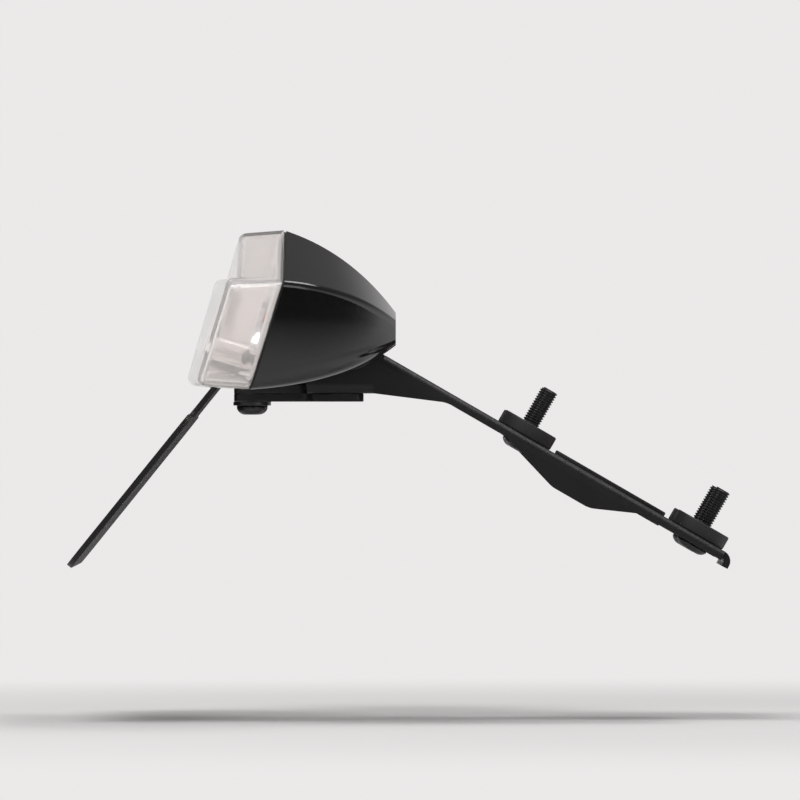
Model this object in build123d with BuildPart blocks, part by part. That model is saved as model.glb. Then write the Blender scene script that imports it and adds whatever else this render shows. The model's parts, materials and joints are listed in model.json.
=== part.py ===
"""Tail tidy: a folded bracket that carries a plate hanger, its lamp and a pair of turn indicators.

Millimetres. +X points to the front, +Y to the left and +Z up. The origin is the centre of the
four mounting bolts, on the sloping face that the spacers meet.
"""
import os
from math import cos, radians, sin, tan

from build123d import *

os.makedirs("parts", exist_ok=True)

# Sloping mounting face and its bolts
slope_angle = 30.0
bolt_square = 72.0
spacer_height = 5.0
spacer_diameter = 21.0
shoulder_diameter = 8.0
stud_diameter = 6.0
stud_length = 14.0
mount_head_diameter = 12.0
mount_head_height = 2.4
mount_washer_diameter = 16.0
mount_washer_thickness = 1.0

# Folded bracket
sheet = 2.5
sheet_bend = 1.5
bracket_width = 104.0
web_rear = -94.0
web_front = 51.5
front_lip_drop = 5.0
front_lip_width = 80.0
waist_drop = 1.0
belly_drop = 8.5
waist_rear = -66.0
waist_front = -42.0
belly_rear = -17.0
belly_front = -3.0
belly_end = 14.0
edge_round = 10.0
ear_radius = 14.0
ear_slit = 0.2
lip_width = 22.0
lip_front = -88.0
lip_bolt_inset = 13.0
cable_slot_length = 40.0
cable_slot_width = 16.0
grommet_wall = 3.0
grommet_flange = 3.0
grommet_flange_thickness = 1.5

# Indicator stem, shared by the bracket's ears, the stalk and the housing
stem_x = -98.0
stem_z = 50.0
stem_diameter = 8.0
stem_bore = 4.5
stalk_length = 8.0
stalk_long = 26.0
stalk_short = 18.0
stalk_grooves = 2
stalk_groove = 1.6
stalk_groove_depth = 1.8

# Arm under the bracket's lips
arm_bottom = 26.0
arm_thickness = 3.0
arm_front = -92.0
arm_rear = -138.6
arm_bolt_margin = 8.0
arm_rear_width = 80.0
arm_notch_width = 44.0
arm_notch_end = -110.0
arm_corner = 3.0
arm_bolt_x = -100.0

# Plate hanger
pad_thickness = 3.0
hanger_sheet = 2.0
hanger_bend = 2.0
hanger_front = -112.4
hanger_corner = -144.5
hanger_angle = 51.1
hanger_length = 85.3
neck_width = 84.0
neck_length = 16.0
neck_round = 6.0
flange_corner = 5.0
panel_width = 170.0
panel_corner = 10.0
plate_hole_diameter = 6.6
plate_hole_spacing = 120.0
plate_hole_drop = 38.0
hanger_bolt_x = -132.4
hanger_bolt_spacing = 64.0

# Six-millimetre bolts, washers and nuts
bolt_diameter = 6.0
bolt_head_diameter = 10.5
bolt_head_height = 3.3
bolt_socket = 4.0
bolt_socket_depth = 1.8
bolt_tail = 1.6
countersink_diameter = 12.0
washer_diameter = 13.0
washer_thickness = 1.4
nut_across_flats = 10.0
nut_height = 6.0
nut_chamfer = 0.7
nut_rim = 0.3
nut_collar = 1.5
nut_collar_step = 1.0
stem_nut_across_flats = 13.0
stem_nut_height = 5.0
stem_washer_diameter = 17.0
stem_washer_thickness = 1.6
stem_tail = 2.0
stem_head_diameter = 13.0
stem_head_height = 3.0
hole_clearance = 0.4

# Domed bolt heads, as shares of the head's radius and height
dome_edge_height = 0.3
dome_middle_radius = 0.8
dome_middle_height = 0.78
dome_top_radius = 0.44

# Plate lamp on the hanger's flange
lamp_width = 44.0
lamp_height = 13.0
lamp_front = -115.5
lamp_apron = 10.0
lamp_apron_height = 3.0
lamp_slant = 4.0
lamp_rear = -151.0
lamp_lip_height = 7.0
lamp_overhang_rise = 2.0
lamp_round = 3.0
lamp_window_length = 36.0
lamp_window_width = 6.0
lamp_window_depth = 4.5
lamp_lens_thickness = 1.5
lamp_lens_rebate = 1.2
lamp_gasket_thickness = 0.6
lamp_board_thickness = 1.2
lamp_led_size = 3.0
lamp_led_height = 0.9
lamp_led_pitch = 11.0
lamp_screw_diameter = 4.0
lamp_screw_head_diameter = 7.0
lamp_screw_head_height = 2.2
lamp_screw_socket = 2.5
lamp_screw_socket_depth = 1.3
lamp_screw_spacing = 30.0

# Indicator housing and lens, given for the right-hand side
joint_x = -130.3
joint_z = 50.0
lens_lean = 16.0
lens_toe = 5.0
rim_top = 39.2
rim_crease_out = 62.7
rim_crease_up = 19.2
rim_foot_out = 52.0
rim_foot_down = 20.5
rim_crown_round = 130.0
side_crown = 0.036
crease_round = 2.6
rear_crease_round = 5.0
foot_round = 9.0
lens_reach = 19.5
lens_ledge = 4.0
ledge_rise = 2.5
lens_draft = 1.2
lens_round = 3.5
lens_wall = 2.0
housing_wall = 2.0
shoulder_x = -104.0
shoulder_top = 28.0
shoulder_crease_out = 48.0
shoulder_crease_up = 15.0
shoulder_foot_out = 40.0
shoulder_foot_down = 15.5
shoulder_crown_round = 100.0
tip_x = -80.2
tip_top = 8.0
tip_crease_out = 18.0
tip_crease_up = 4.8
tip_foot_out = 15.5
tip_foot_down = 3.2
tip_crown_round = 17.0
tip_round = 2.5
tip_wall = 3.0
seal_thickness = 0.8
seal_inset = 0.4
seal_width = 3.8
reflector_wall = 1.2
reflector_gap = 0.8
bowl_radius = 17.0
bowl_depth = 12.0
bowl_waist_radius = 13.6
bowl_waist_depth = 6.6
bowl_base_radius = 8.5
bowl_out = 27.5
bowl_up = 6.0
holder_flange_radius = 8.0
holder_flange = 2.0
holder_radius = 6.5
holder_length = 8.0
holder_neck_radius = 4.8
bulb_base_radius = 3.4
bulb_radius = 5.8
bulb_widest = 7.4
lens_screw_out = 44.5
lens_screw_up = -9.5
lens_screw_diameter = 3.0
lens_screw_length = 12.0
lens_screw_head_diameter = 5.6
lens_screw_head_height = 1.9
lens_screw_socket = 2.0
lens_screw_socket_depth = 1.1
lens_screw_floor = 2.0
post_diameter = 8.0
post_length = 26.0
fit_gap = 0.2
thread_gap = 0.05

# Levels and places that follow from the sizes above
along = Vector(cos(radians(slope_angle)), 0, -sin(radians(slope_angle)))
normal = Vector(sin(radians(slope_angle)), 0, cos(radians(slope_angle)))
web_top = -spacer_height
web_bottom = web_top - sheet
bend_outside = sheet_bend + sheet
ear_outer = bracket_width / 2
ear_inner = ear_outer - sheet
arm_bolt_spacing = bracket_width - 2 * lip_bolt_inset
arm_front_width = arm_bolt_spacing + 2 * arm_bolt_margin
arm_top = arm_bottom + arm_thickness
lip_top = arm_top + sheet
flange_top = arm_top + pad_thickness + hanger_sheet
indicator_inner = ear_outer + stalk_length
lamp_screw_x = lamp_front - lamp_apron / 2
stem_hole_radius = (stem_diameter + hole_clearance) / 2
bolt_hole_radius = (bolt_diameter + hole_clearance) / 2
shoulder_hole_radius = (shoulder_diameter + hole_clearance) / 2


def slope_plane(height):
    """The plane along the slope, this far above the mounting face."""
    return Plane(origin=normal * height, x_dir=along, z_dir=normal)


def slope_coordinates(x, z):
    """Place along the slope and height above the mounting face of a point in the side view."""
    point = Vector(x, 0, z)
    return (point.dot(along), point.dot(normal))


slope_side = Plane(origin=(0, 0, 0), x_dir=along, z_dir=(0, -1, 0))
slope_section = Plane(origin=along * web_rear, x_dir=(0, 1, 0), z_dir=along)


def strip(outside, inside, outside_radius, inside_radius):
    """Closed outline of a bent strip, from the corners of its two faces."""
    FilletPolyline(*outside, radius=outside_radius)
    FilletPolyline(*inside, radius=inside_radius)
    Line(outside[0], inside[0])
    Line(outside[-1], inside[-1])


def channel(half_width, floor, end):
    """Corners of a channel section that opens downwards."""
    return [(-half_width, end), (-half_width, floor), (half_width, floor), (half_width, end)]


def washer(outer_diameter, hole_radius, thickness):
    """A flat washer lying on its plane."""
    with BuildPart() as form:
        with BuildSketch():
            Circle(outer_diameter / 2)
            Circle(hole_radius, mode=Mode.SUBTRACT)
        extrude(amount=thickness)
    return form.part


def nut(across_flats, height, hole_radius):
    """A lock nut: a hexagon with turned corners and a round collar."""
    flat = across_flats / 2
    corner = flat / cos(radians(30))
    shoulder = height - nut_collar
    with BuildPart() as form:
        with BuildSketch():
            RegularPolygon(flat, 6, major_radius=False)
        extrude(amount=height)
        with BuildSketch(Plane.XZ):
            with BuildLine():
                Polyline(
                    (0, 0),
                    (flat - nut_rim, 0),
                    (corner, nut_chamfer),
                    (corner, shoulder - nut_chamfer),
                    (flat - nut_rim, shoulder),
                    (flat - nut_collar_step, height),
                    (0, height),
                    close=True,
                )
            make_face()
        revolve(axis=Axis.Z, mode=Mode.INTERSECT)
        with BuildSketch():
            Circle(hole_radius)
        extrude(amount=height, mode=Mode.SUBTRACT)
    return form.part


def button_bolt(shank_diameter, shank_length, head_diameter, head_height, socket, socket_depth):
    """A domed bolt with a hexagon socket. The underside of its head lies on its plane."""
    radius = head_diameter / 2
    dome_top = (radius * dome_top_radius, -head_height)
    with BuildPart() as form:
        with BuildSketch():
            Circle(shank_diameter / 2)
        extrude(amount=shank_length)
        with BuildSketch(Plane.XZ):
            with BuildLine():
                edge = Line((radius, 0), (radius, -head_height * dome_edge_height))
                dome_middle = (radius * dome_middle_radius, -head_height * dome_middle_height)
                ThreePointArc(edge @ 1, dome_middle, dome_top)
                Polyline(dome_top, (0, -head_height), (0, 0), edge @ 0)
            make_face()
        revolve(axis=Axis.Z)
        with BuildSketch(Plane.XY.offset(-head_height)):
            RegularPolygon(socket / 2, 6, major_radius=False)
        extrude(amount=socket_depth, mode=Mode.SUBTRACT)
    return form.part


# Main bracket: one sheet, folded down along both sides and across the front
with BuildPart() as main_bracket:
    lip_corner = slope_coordinates(lip_front, arm_top)
    lip_shoulder = slope_coordinates(lip_front, lip_top + bend_outside)
    waist = web_bottom - waist_drop
    belly = web_bottom - belly_drop
    flange_end = min(lip_corner[1], belly) - edge_round
    with BuildSketch(slope_section):
        with BuildLine():
            strip(
                channel(ear_outer, web_top, flange_end),
                channel(ear_inner, web_bottom, flange_end),
                bend_outside,
                sheet_bend,
            )
        make_face()
    extrude(amount=web_front - bend_outside - web_rear)
    # The flanges' lower edge: high at the waist, low at the belly, level again towards the front
    with BuildSketch(slope_side):
        with BuildLine():
            lower_edge = FilletPolyline(
                lip_corner,
                (waist_rear, waist),
                (waist_front, waist),
                (belly_rear, belly),
                (belly_front, belly),
                (belly_end, waist),
                (web_front, waist),
                radius=edge_round,
            )
            Polyline(
                lower_edge @ 1,
                (web_front, 0),
                (web_rear, 0),
                (web_rear, lip_shoulder[1]),
                lip_shoulder,
                lower_edge @ 0,
            )
        make_face()
    extrude(amount=bracket_width, both=True, mode=Mode.INTERSECT)
    # Front lip, bent down
    front_lip_root = web_front - 2 * bend_outside
    front_lip_end = web_top - front_lip_drop
    with BuildSketch(slope_side):
        with BuildLine():
            strip(
                [(front_lip_root, web_top), (web_front, web_top), (web_front, front_lip_end)],
                [
                    (front_lip_root, web_bottom),
                    (web_front - sheet, web_bottom),
                    (web_front - sheet, front_lip_end),
                ],
                bend_outside,
                sheet_bend,
            )
        make_face()
    extrude(amount=front_lip_width / 2, both=True)
    # Ears for the indicators, in line with the flanges
    ear_rear = stem_x - ear_radius
    ear_root = along * (web_rear + ear_radius) + normal * (web_bottom - sheet_bend - sheet)
    ear_neck = along * web_rear + normal * (web_bottom - sheet_bend)
    ear_step = ear_neck - along * ear_slit
    ear_shoulder = along * (web_rear - ear_slit) + normal * web_top
    for ear_face in (ear_inner, -ear_outer):
        with BuildSketch(Plane.XZ.offset(ear_face)):
            with Locations((stem_x, stem_z)):
                Circle(ear_radius)
            with BuildLine():
                Polyline(
                    (ear_rear, stem_z),
                    (ear_rear, lip_top + sheet_bend),
                    (lip_front, lip_top + sheet_bend),
                    (ear_root.X, ear_root.Z),
                    (ear_neck.X, ear_neck.Z),
                    (ear_step.X, ear_step.Z),
                    (ear_shoulder.X, ear_shoulder.Z),
                    (stem_x, stem_z),
                    close=True,
                )
            make_face()
        extrude(amount=sheet)
    # Lips turned in under the ears, where the arm bolts on
    for side in (-1, 1):
        with BuildSketch(Plane.YZ.offset(ear_rear)):
            with BuildLine():
                strip(
                    [
                        (side * ear_outer, lip_top + bend_outside),
                        (side * ear_outer, arm_top),
                        (side * (ear_outer - lip_width), arm_top),
                    ],
                    [
                        (side * ear_inner, lip_top + bend_outside),
                        (side * ear_inner, lip_top),
                        (side * (ear_outer - lip_width), lip_top),
                    ],
                    bend_outside,
                    sheet_bend,
                )
            make_face()
        extrude(amount=lip_front - ear_rear)
    # Holes: mounting bolts, cable slot, indicator stems and arm bolts
    with BuildSketch(slope_plane(web_top)):
        with GridLocations(bolt_square, bolt_square, 2, 2):
            Circle(shoulder_hole_radius)
        SlotOverall(cable_slot_length, cable_slot_width)
    extrude(amount=-sheet, mode=Mode.SUBTRACT)
    with BuildSketch(Plane.XZ):
        with Locations((stem_x, stem_z)):
            Circle(stem_hole_radius)
    extrude(amount=bracket_width, both=True, mode=Mode.SUBTRACT)
    with BuildSketch(Plane.XY.offset(arm_top)):
        with Locations((arm_bolt_x, 0)):
            with GridLocations(0, arm_bolt_spacing, 1, 2):
                Circle(bolt_hole_radius)
    extrude(amount=sheet, mode=Mode.SUBTRACT)

# Mounting hardware on the slope
with BuildPart() as mount_spacers:
    with BuildSketch(slope_plane(web_top)):
        with GridLocations(bolt_square, bolt_square, 2, 2):
            Circle(spacer_diameter / 2)
            Circle(shoulder_hole_radius, mode=Mode.SUBTRACT)
    extrude(amount=spacer_height)

mount_washer_form = washer(mount_washer_diameter, shoulder_hole_radius, mount_washer_thickness)
with BuildPart() as mount_washers:
    with Locations(slope_plane(web_bottom - mount_washer_thickness)):
        with GridLocations(bolt_square, bolt_square, 2, 2):
            add(mount_washer_form)

mount_grip = spacer_height + sheet + mount_washer_thickness
mount_bolt_form = button_bolt(
    shoulder_diameter, mount_grip, mount_head_diameter, mount_head_height, bolt_socket, bolt_socket_depth
)
with BuildPart() as mount_bolts:
    with Locations(slope_plane(-mount_grip)):
        with GridLocations(bolt_square, bolt_square, 2, 2):
            add(mount_bolt_form)
    with BuildSketch(slope_plane(0)):
        with GridLocations(bolt_square, bolt_square, 2, 2):
            Circle(stud_diameter / 2)
    extrude(amount=stud_length)

# Rubber grommet in the cable slot
with BuildPart() as cable_grommet:
    with BuildSketch(slope_plane(web_bottom)):
        SlotOverall(cable_slot_length - 2 * fit_gap, cable_slot_width - 2 * fit_gap)
    extrude(amount=sheet)
    with BuildSketch(slope_plane(web_top), slope_plane(web_bottom - grommet_flange_thickness)):
        SlotOverall(cable_slot_length + 2 * grommet_flange, cable_slot_width + 2 * grommet_flange)
    extrude(amount=grommet_flange_thickness)
    with BuildSketch(slope_plane(0)):
        SlotOverall(cable_slot_length - 2 * grommet_wall, cable_slot_width - 2 * grommet_wall)
    extrude(amount=2 * (web_bottom - grommet_flange_thickness), mode=Mode.SUBTRACT)

# Arm: a flat fork under the lips that reaches back to the plate hanger
with BuildPart() as hanger_arm:
    with BuildSketch(Plane.XY.offset(arm_bottom)):
        with BuildLine():
            FilletPolyline(
                (arm_front, arm_notch_width / 2),
                (arm_front, arm_front_width / 2),
                (arm_notch_end, arm_front_width / 2),
                (hanger_front, arm_rear_width / 2),
                (arm_rear, arm_rear_width / 2),
                (arm_rear, -arm_rear_width / 2),
                (hanger_front, -arm_rear_width / 2),
                (arm_notch_end, -arm_front_width / 2),
                (arm_front, -arm_front_width / 2),
                (arm_front, -arm_notch_width / 2),
                (arm_notch_end, -arm_notch_width / 2),
                (arm_notch_end, arm_notch_width / 2),
                radius=arm_corner,
                close=True,
            )
        make_face()
        with Locations((hanger_bolt_x, 0)):
            with GridLocations(0, hanger_bolt_spacing, 1, 2):
                Circle(bolt_hole_radius, mode=Mode.SUBTRACT)
    extrude(amount=arm_thickness)
    with Locations(Plane(origin=(arm_bolt_x, 0, arm_bottom), z_dir=(0, 0, -1))):
        with GridLocations(0, arm_bolt_spacing, 1, 2):
            CounterSinkHole(bolt_hole_radius, countersink_diameter / 2 + hole_clearance, arm_thickness)

washer_form = washer(washer_diameter, bolt_hole_radius, washer_thickness)
nut_form = nut(nut_across_flats, nut_height, bolt_diameter / 2 + thread_gap)

# Countersunk bolts that hold the arm, with their washers and nuts on the lips
arm_nut_seat = lip_top + washer_thickness
with BuildPart() as arm_bolts:
    with BuildSketch(Plane.XY.offset(arm_bottom)):
        with Locations((arm_bolt_x, 0)):
            with GridLocations(0, arm_bolt_spacing, 1, 2):
                Circle(bolt_diameter / 2)
    extrude(amount=arm_nut_seat + nut_height + bolt_tail - arm_bottom)
    with Locations((arm_bolt_x, 0, arm_bottom)):
        with GridLocations(0, arm_bolt_spacing, 1, 2):
            Cone(
                countersink_diameter / 2,
                bolt_diameter / 2,
                (countersink_diameter - bolt_diameter) / 2,
                align=(Align.CENTER, Align.CENTER, Align.MIN),
            )
    with BuildSketch(Plane.XY.offset(arm_bottom)):
        with Locations((arm_bolt_x, 0)):
            with GridLocations(0, arm_bolt_spacing, 1, 2):
                RegularPolygon(bolt_socket / 2, 6, major_radius=False)
    extrude(amount=bolt_socket_depth, mode=Mode.SUBTRACT)

with BuildPart() as arm_washers:
    with Locations((arm_bolt_x, 0, lip_top)):
        with GridLocations(0, arm_bolt_spacing, 1, 2):
            add(washer_form)

with BuildPart() as arm_nuts:
    with Locations((arm_bolt_x, 0, arm_nut_seat)):
        with GridLocations(0, arm_bolt_spacing, 1, 2):
            add(nut_form)

# Plate hanger: one sheet, a flange on the arm, a neck between the lenses and the plate's panel
panel_down = Vector(-cos(radians(hanger_angle)), 0, -sin(radians(hanger_angle)))
panel_normal = Vector(-sin(radians(hanger_angle)), 0, cos(radians(hanger_angle)))
hanger_edge = Vector(hanger_corner, 0, flange_top)
panel_face = Plane(origin=hanger_edge, x_dir=(0, 1, 0), z_dir=panel_normal)
with BuildPart() as plate_hanger:
    panel_end = hanger_edge + panel_down * hanger_length
    panel_end_inside = panel_end - panel_normal * hanger_sheet
    inside_corner = hanger_corner + hanger_sheet * tan(radians(hanger_angle / 2))
    with BuildSketch(Plane.XZ):
        with BuildLine():
            strip(
                [(hanger_front, flange_top), (hanger_corner, flange_top), (panel_end.X, panel_end.Z)],
                [
                    (hanger_front, flange_top - hanger_sheet),
                    (inside_corner, flange_top - hanger_sheet),
                    (panel_end_inside.X, panel_end_inside.Z),
                ],
                hanger_bend + hanger_sheet,
                hanger_bend,
            )
        make_face()
    extrude(amount=panel_width / 2, both=True)
    # Both sides are cut back to the neck
    with BuildSketch(panel_face):
        with Locations((0, neck_length - hanger_length / 2)):
            Rectangle(panel_width + neck_width, hanger_length)
            Rectangle(neck_width, hanger_length, mode=Mode.SUBTRACT)
    extrude(amount=hanger_length, both=True, mode=Mode.SUBTRACT)
    through_sheet = plate_hanger.edges().filter_by(Axis(hanger_edge, panel_normal))
    shoulder_middle = (neck_width + panel_width) / 4
    panel_corners = [edge for edge in through_sheet if abs(edge.center().Y) > shoulder_middle]
    fillet(panel_corners, panel_corner)
    # The neck runs into the panel in two inside corners, and the flange's front corners are rounded
    neck_edges = plate_hanger.edges().filter_by(Axis(hanger_edge, panel_normal))
    neck_corners = [edge for edge in neck_edges if abs(edge.center().Y) < neck_width / 2 + fit_gap]
    fillet(neck_corners, neck_round)
    fillet(plate_hanger.edges().filter_by(Axis.Z), flange_corner)
    with Locations(panel_face):
        with Locations((0, plate_hole_drop)):
            with GridLocations(plate_hole_spacing, 0, 2, 1):
                Hole(plate_hole_diameter / 2, hanger_sheet)
    with BuildSketch(Plane.XY.offset(flange_top)):
        with Locations((hanger_bolt_x, 0)):
            with GridLocations(0, hanger_bolt_spacing, 1, 2):
                Circle(bolt_hole_radius)
        with Locations((lamp_screw_x, 0)):
            with GridLocations(0, lamp_screw_spacing, 1, 2):
                Circle(lamp_screw_diameter / 2 + thread_gap)
    extrude(amount=-hanger_sheet, mode=Mode.SUBTRACT)

# Rubber pad between the arm and the hanger's flange
with BuildPart() as hanger_pad:
    with BuildSketch(Plane.XY.offset(arm_top)):
        with Locations(((arm_rear + hanger_front) / 2, 0)):
            RectangleRounded(hanger_front - arm_rear, arm_rear_width, arm_corner)
        with Locations((hanger_bolt_x, 0)):
            with GridLocations(0, hanger_bolt_spacing, 1, 2):
                Circle(bolt_hole_radius, mode=Mode.SUBTRACT)
        with Locations((lamp_screw_x, 0)):
            with GridLocations(0, lamp_screw_spacing, 1, 2):
                Circle((lamp_screw_diameter + hole_clearance) / 2, mode=Mode.SUBTRACT)
    extrude(amount=pad_thickness)

# Hanger bolts with their heads under the arm
hanger_head_seat = arm_bottom - washer_thickness
hanger_nut_seat = flange_top + washer_thickness
hanger_bolt_form = button_bolt(
    bolt_diameter,
    hanger_nut_seat + nut_height + bolt_tail - hanger_head_seat,
    bolt_head_diameter,
    bolt_head_height,
    bolt_socket,
    bolt_socket_depth,
)
with BuildPart() as hanger_bolts:
    with Locations((hanger_bolt_x, 0, hanger_head_seat)):
        with GridLocations(0, hanger_bolt_spacing, 1, 2):
            add(hanger_bolt_form)

with BuildPart() as hanger_washers:
    with Locations((hanger_bolt_x, 0, hanger_head_seat), (hanger_bolt_x, 0, flange_top)):
        with GridLocations(0, hanger_bolt_spacing, 1, 2):
            add(washer_form)

with BuildPart() as hanger_nuts:
    with Locations((hanger_bolt_x, 0, hanger_nut_seat)):
        with GridLocations(0, hanger_bolt_spacing, 1, 2):
            add(nut_form)

# Plate lamp: a hollow moulding whose window looks down the panel
lamp_top = flange_top + lamp_height
lamp_base_rear = hanger_corner + (hanger_bend + hanger_sheet) * tan(radians(hanger_angle / 2)) + fit_gap
window_front = Vector(lamp_base_rear, 0, flange_top + lamp_overhang_rise)
window_rear = Vector(lamp_rear, 0, flange_top + lamp_lip_height)
window_slant = (window_rear - window_front).normalized()
window_face = Plane(
    origin=(window_front + window_rear) * 0.5, x_dir=(0, 1, 0), z_dir=window_slant.cross(Vector(0, 1, 0))
)
lens_seat = lamp_lens_thickness + lamp_gasket_thickness
rebate_length = lamp_window_length + 2 * lamp_lens_rebate
rebate_width = lamp_window_width + 2 * lamp_lens_rebate
with BuildPart() as lamp_housing:
    with BuildSketch(Plane.XZ):
        with BuildLine():
            Polyline(
                (lamp_front, flange_top),
                (lamp_front, flange_top + lamp_apron_height),
                (lamp_front - lamp_apron, flange_top + lamp_apron_height),
                (lamp_front - lamp_apron - lamp_slant, lamp_top),
                (lamp_rear, lamp_top),
                (window_rear.X, window_rear.Z),
                (window_front.X, window_front.Z),
                (lamp_base_rear, flange_top),
                close=True,
            )
        make_face()
    extrude(amount=lamp_width / 2, both=True)
    top_edges = lamp_housing.faces().sort_by(Axis.Z)[-1].edges()
    fillet(top_edges, lamp_round)
    with BuildSketch(window_face):
        Rectangle(rebate_length, rebate_width)
    extrude(amount=-lens_seat, mode=Mode.SUBTRACT)
    with BuildSketch(window_face.offset(-lens_seat)):
        Rectangle(lamp_window_length, lamp_window_width)
    extrude(amount=-lamp_window_depth, mode=Mode.SUBTRACT)
    with BuildSketch(Plane.XY.offset(flange_top)):
        with Locations((lamp_screw_x, 0)):
            with GridLocations(0, lamp_screw_spacing, 1, 2):
                Circle((lamp_screw_diameter + hole_clearance) / 2)
    extrude(amount=lamp_apron_height, mode=Mode.SUBTRACT)

with BuildPart() as lamp_lens:
    with BuildSketch(window_face):
        Rectangle(rebate_length - 2 * fit_gap, rebate_width - 2 * fit_gap)
    extrude(amount=-lamp_lens_thickness)

with BuildPart() as lamp_gasket:
    with BuildSketch(window_face.offset(-lamp_lens_thickness)):
        Rectangle(rebate_length - 2 * fit_gap, rebate_width - 2 * fit_gap)
        Rectangle(lamp_window_length, lamp_window_width, mode=Mode.SUBTRACT)
    extrude(amount=-lamp_gasket_thickness)

board_seat = -lens_seat - lamp_window_depth
with BuildPart() as lamp_board:
    with BuildSketch(window_face.offset(board_seat)):
        Rectangle(lamp_window_length - 2 * fit_gap, lamp_window_width - 2 * fit_gap)
    extrude(amount=lamp_board_thickness)
    with BuildSketch(window_face.offset(board_seat + lamp_board_thickness)):
        with GridLocations(lamp_led_pitch, 0, 3, 1):
            Rectangle(lamp_led_size, lamp_led_size)
    extrude(amount=lamp_led_height)

lamp_screw_form = button_bolt(
    lamp_screw_diameter,
    lamp_apron_height + hanger_sheet,
    lamp_screw_head_diameter,
    lamp_screw_head_height,
    lamp_screw_socket,
    lamp_screw_socket_depth,
)
with BuildPart() as lamp_screws:
    with Locations(Plane(origin=(lamp_screw_x, 0, flange_top + lamp_apron_height), z_dir=(0, 0, -1))):
        with GridLocations(0, lamp_screw_spacing, 1, 2):
            add(lamp_screw_form)


def station(x, lean, toe):
    """A section plane of the right indicator: its x runs outboard, its y up and its z to the rear."""
    level = cos(radians(lean))
    rearward = Vector(-level * cos(radians(toe)), -level * sin(radians(toe)), sin(radians(lean)))
    outboard = Vector(sin(radians(toe)), -cos(radians(toe)), 0)
    return Plane(origin=(x, -indicator_inner, joint_z), x_dir=outboard, z_dir=rearward)


def section(top, crease_out, crease_up, foot_out, foot_down):
    """A section's corners and its side's crown, run a little past the flat inner face that trims them."""
    run = lens_wall + housing_wall
    crown_out = (foot_out + crease_out) / 2 + side_crown * (crease_up + foot_down)
    crown_up = (crease_up - foot_down) / 2 - side_crown * (crease_out - foot_out)
    return [
        (-run, -foot_down),
        (foot_out, -foot_down),
        (crown_out, crown_up),
        (crease_out, crease_up),
        (-run, top + run * (top - crease_up) / crease_out),
    ]


joint = station(joint_x, lens_lean, lens_toe)
rim = section(rim_top, rim_crease_out, rim_crease_up, rim_foot_out, rim_foot_down)
rim_rounds = [0, foot_round, rim_crown_round, crease_round, 0]
rear_rounds = [0, foot_round, rim_crown_round, rear_crease_round, 0]
ledge_up = rim_crease_up + ledge_rise
ledge_out = rim_crease_out * (rim_top - ledge_up) / (rim_top - rim_crease_up)
lower_rim = [*rim[:-1], (ledge_out, ledge_up), (rim[0][0], ledge_up)]
lower_rim_rounds = [*rim_rounds, 0]
lower_rear_rounds = [*rear_rounds, 0]


def trimmed_slab(inset, start, depth):
    """A slab with the rim's outline, drawn in by an inset, starting this far behind the joint."""
    with BuildPart() as form:
        with BuildSketch(joint.offset(start)):
            with BuildLine():
                FilletPolyline(*rim, radius=rim_rounds, close=True)
            make_face()
            offset(amount=-inset, kind=Kind.INTERSECTION)
        extrude(amount=depth)
        split(bisect_by=Plane.XZ.offset(indicator_inner + inset), keep=Keep.TOP)
    return form.part


def drawn_form(corners, front_rounds, rear_rounds, reach, inset):
    """An outline drawn straight back from the rim, with a little draft, and rounded at the rear."""
    front = joint.offset(seal_thickness)
    rear_origin = front.origin - Vector(reach - inset, 0, 0)
    rear = Plane(origin=rear_origin, x_dir=joint.x_dir, z_dir=joint.z_dir)
    with BuildPart() as form:
        ends = [(front, front_rounds, inset), (rear, rear_rounds, inset + lens_draft)]
        for plane, rounds, drawn_in in ends:
            with BuildSketch(plane):
                with BuildLine():
                    FilletPolyline(*corners, radius=rounds, close=True)
                make_face()
                if drawn_in:
                    offset(amount=-drawn_in, kind=Kind.INTERSECTION)
        loft(ruled=True)
        fillet(form.faces().sort_by(Axis((0, 0, 0), joint.z_dir))[-1].edges(), lens_round - inset)
    return form.part


def lens_form(inset):
    """The lens's outer or inner form, which reaches less far back above the crease."""
    upper_form = drawn_form(rim, rim_rounds, rear_rounds, lens_reach - lens_ledge, inset)
    lower_form = drawn_form(lower_rim, lower_rim_rounds, lower_rear_rounds, lens_reach, inset)
    with BuildPart() as form:
        add(upper_form)
        add(lower_form)
        split(bisect_by=Plane.XZ.offset(indicator_inner + inset), keep=Keep.TOP)
    return form.part


def housing_form(inset, tip_back):
    """The housing's outer or inner form, through its rim, its shoulder and its tip."""
    shoulder = section(
        shoulder_top, shoulder_crease_out, shoulder_crease_up, shoulder_foot_out, shoulder_foot_down
    )
    tip = section(tip_top, tip_crease_out, tip_crease_up, tip_foot_out, tip_foot_down)
    shoulder_rounds = [0, foot_round, shoulder_crown_round, crease_round, 0]
    tip_rounds = [0, tip_round, tip_crown_round, tip_round, 0]
    stations = [
        (joint, rim, rim_rounds),
        (station(shoulder_x, lens_lean / 2, lens_toe / 2), shoulder, shoulder_rounds),
        (station(tip_x - tip_back, 0, 0), tip, tip_rounds),
    ]
    with BuildPart() as form:
        for plane, corners, rounds in stations:
            with BuildSketch(plane):
                with BuildLine():
                    FilletPolyline(*corners, radius=rounds, close=True)
                make_face()
                if inset:
                    offset(amount=-inset, kind=Kind.INTERSECTION)
        loft()
        split(bisect_by=Plane.XZ.offset(indicator_inner + inset), keep=Keep.TOP)
    return form.part


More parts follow.
